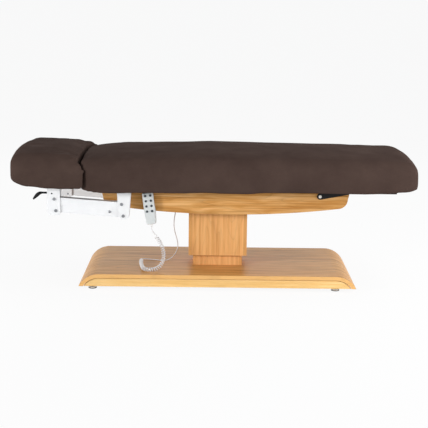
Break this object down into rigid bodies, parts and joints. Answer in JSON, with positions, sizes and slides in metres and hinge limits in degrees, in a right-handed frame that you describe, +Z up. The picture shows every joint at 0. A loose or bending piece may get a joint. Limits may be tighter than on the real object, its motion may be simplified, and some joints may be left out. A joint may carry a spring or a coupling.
{
  "type": "spa treatment bed",
  "caption": "Padded spa treatment bed with a separate adjustable headrest and a tilting leg section on a wooden telescopic lifting column and a curved wooden base, with a corded handset",
  "frame": {"origin": "on the floor under the middle of the padded top", "axes": "+X from the head end to the foot end, -Y the side with the handset, +Z up; millimetres in the source, metres here"},
  "size_m": [2.07, 0.7802, 0.71],
  "materials": {
    "upholstery": "soft grain, satin",
    "plywood": "sanded",
    "base_oak": "satin lacquer",
    "column_oak": "satin lacquer",
    "frame_oak": "satin lacquer",
    "white_steel": "powder coat",
    "black_steel": "powder coat",
    "bright_steel": "zinc plated",
    "foot_rubber": "matte",
    "glide_plastic": "matte",
    "grey_plastic": "fine texture",
    "key_plastic": "matte",
    "dark_plastic": "matte",
    "cord_plastic": "satin"
  },
  "bodies": {
    "base": {"base_top_board": "base_oak", "base_side_panels": "base_oak", "base_chassis": "black_steel", "column_base_flange": "black_steel", "base_flange_bolts": "bright_steel", "column_outer_tube": "white_steel", "column_glide": "glide_plastic", "lower_sleeve_faces": "column_oak", "lower_sleeve_sides": "column_oak"},
    "lift": {"column_inner_tube": "white_steel", "column_top_flange": "black_steel", "top_flange_bolts": "bright_steel", "upper_sleeve_faces": "column_oak", "upper_sleeve_sides": "column_oak", "frame_panels": "frame_oak", "frame_end_boards": "frame_oak", "frame_carrier": "black_steel", "control_box": "dark_plastic", "cord_glands": "cord_plastic", "cord_tail": "cord_plastic", "cord_curls": "cord_plastic", "cord_lead": "cord_plastic", "handset_back": "grey_plastic", "handset_front": "grey_plastic", "handset_holder": "dark_plastic", "main_deck": "plywood", "main_mattress": "upholstery", "knee_foam": "upholstery", "leg_actuator": "dark_plastic", "knee_bolts": "bright_steel", "frame_brackets": "white_steel", "frame_arm_bolts": "bright_steel"},
    "leg_section": {"leg_deck": "plywood", "leg_mattress": "upholstery", "leg_straps": "black_steel", "leg_crank": "black_steel"},
    "leg_rod": {"leg_rod": "bright_steel"},
    "lower_arms": {"lower_arms": "white_steel"},
    "upper_arms": {"upper_arms": "white_steel"},
    "headrest": {"headrest_pad": "upholstery", "headrest_board": "plywood", "headrest_brackets": "white_steel", "headrest_arm_bolts": "bright_steel"},
    "gas_spring_cylinder": {"gas_spring_cylinder": "dark_plastic"},
    "gas_spring_rod": {"gas_spring_rod": "bright_steel"},
    "release_lever": {"release_lever": "black_steel"},
    "key_1": {"key_1": "key_plastic"},
    "key_2": {"key_2": "key_plastic"},
    "key_3": {"key_3": "key_plastic"},
    "key_4": {"key_4": "key_plastic"},
    "key_5": {"key_5": "key_plastic"},
    "key_6": {"key_6": "key_plastic"},
    "key_7": {"key_7": "key_plastic"},
    "key_8": {"key_8": "key_plastic"},
    "foot_head_near": {"levelling_foot_head_near": "foot_rubber"},
    "foot_head_far": {"levelling_foot_head_far": "foot_rubber"},
    "foot_end_near": {"levelling_foot_end_near": "foot_rubber"},
    "foot_end_far": {"levelling_foot_end_far": "foot_rubber"}
  },
  "joints": [
    {"name": "lift", "type": "slide", "parent": "base", "child": "lift", "axis": [0, 0, 1], "range_m": [0, 0.2]},
    {"name": "leg_tilt", "type": "hinge", "parent": "lift", "child": "leg_section", "pos_m": [0.541, 0, 0.476], "axis": [0, -1, 0], "range_deg": [0, 20], "deforming": ["knee_foam"]},
    {"name": "leg_rod_slide", "type": "slide", "parent": "lift", "child": "leg_rod", "axis": [1, 0, 0], "range_m": [0, 0.0216]},
    {"name": "headrest_height", "type": "hinge", "parent": "lift", "child": "lower_arms", "pos_m": [-0.466, 0, 0.373], "axis": [0, 1, 0], "range_deg": [-16, 4]},
    {"name": "upper_arm_swing", "type": "hinge", "parent": "lift", "child": "upper_arms", "pos_m": [-0.474, 0, 0.433], "axis": [0, 1, 0], "range_deg": [-16.5, 4.5]},
    {"name": "headrest_level", "type": "hinge", "parent": "lower_arms", "child": "headrest", "pos_m": [-0.80916, 0, 0.397], "axis": [0, 1, 0], "range_deg": [-4.5, 16.5]},
    {"name": "gas_spring_swing", "type": "hinge", "parent": "lower_arms", "child": "gas_spring_cylinder", "pos_m": [-0.53578, -0.258, 0.39292], "axis": [0, 1, 0], "range_deg": [-0.42, 1.07]},
    {"name": "gas_spring_stroke", "type": "slide", "parent": "gas_spring_cylinder", "child": "gas_spring_rod", "axis": [-0.975, 0, 0.2221], "range_m": [-0.01651, 0.00428]},
    {"name": "release_lever", "type": "hinge", "parent": "headrest", "child": "release_lever", "pos_m": [-0.82916, -0.258, 0.485], "axis": [0, 1, 0], "range_deg": [0, 12], "stiffness_Nm_per_rad": 1.5, "springref_deg": -5.73},
    {"name": "key_1_press", "type": "slide", "parent": "lift", "child": "key_1", "axis": [0, 1, 0], "range_m": [0, 0.0012], "stiffness_N_per_m": 300, "springref_m": -0.0006},
    {"name": "key_2_press", "type": "slide", "parent": "lift", "child": "key_2", "axis": [0, 1, 0], "range_m": [0, 0.0012], "stiffness_N_per_m": 300, "springref_m": -0.0006},
    {"name": "key_3_press", "type": "slide", "parent": "lift", "child": "key_3", "axis": [0, 1, 0], "range_m": [0, 0.0012], "stiffness_N_per_m": 300, "springref_m": -0.0006},
    {"name": "key_4_press", "type": "slide", "parent": "lift", "child": "key_4", "axis": [0, 1, 0], "range_m": [0, 0.0012], "stiffness_N_per_m": 300, "springref_m": -0.0006},
    {"name": "key_5_press", "type": "slide", "parent": "lift", "child": "key_5", "axis": [0, 1, 0], "range_m": [0, 0.0012], "stiffness_N_per_m": 300, "springref_m": -0.0006},
    {"name": "key_6_press", "type": "slide", "parent": "lift", "child": "key_6", "axis": [0, 1, 0], "range_m": [0, 0.0012], "stiffness_N_per_m": 300, "springref_m": -0.0006},
    {"name": "key_7_press", "type": "slide", "parent": "lift", "child": "key_7", "axis": [0, 1, 0], "range_m": [0, 0.0012], "stiffness_N_per_m": 300, "springref_m": -0.0006},
    {"name": "key_8_press", "type": "slide", "parent": "lift", "child": "key_8", "axis": [0, 1, 0], "range_m": [0, 0.0012], "stiffness_N_per_m": 300, "springref_m": -0.0006},
    {"name": "foot_head_near_turn", "type": "hinge", "parent": "base", "child": "foot_head_near", "pos_m": [-0.622, -0.3045, 0], "axis": [0, 0, 1], "continuous": true},
    {"name": "foot_head_far_turn", "type": "hinge", "parent": "base", "child": "foot_head_far", "pos_m": [-0.622, 0.3045, 0], "axis": [0, 0, 1], "continuous": true},
    {"name": "foot_end_near_turn", "type": "hinge", "parent": "base", "child": "foot_end_near", "pos_m": [0.625, -0.3045, 0], "axis": [0, 0, 1], "continuous": true},
    {"name": "foot_end_far_turn", "type": "hinge", "parent": "base", "child": "foot_end_far", "pos_m": [0.625, 0.3045, 0], "axis": [0, 0, 1], "continuous": true}
  ],
  "couplings": [
    {"joint": "leg_rod_slide", "follows": "leg_tilt", "m_per_rad": 0.0615},
    {"joint": "upper_arm_swing", "follows": "headrest_height", "ratio": 1},
    {"joint": "headrest_level", "follows": "headrest_height", "ratio": -1},
    {"joint": "gas_spring_swing", "follows": "headrest_height", "ratio": -0.05425},
    {"joint": "gas_spring_stroke", "follows": "headrest_height", "m_per_rad": 0.058398}
  ]
}
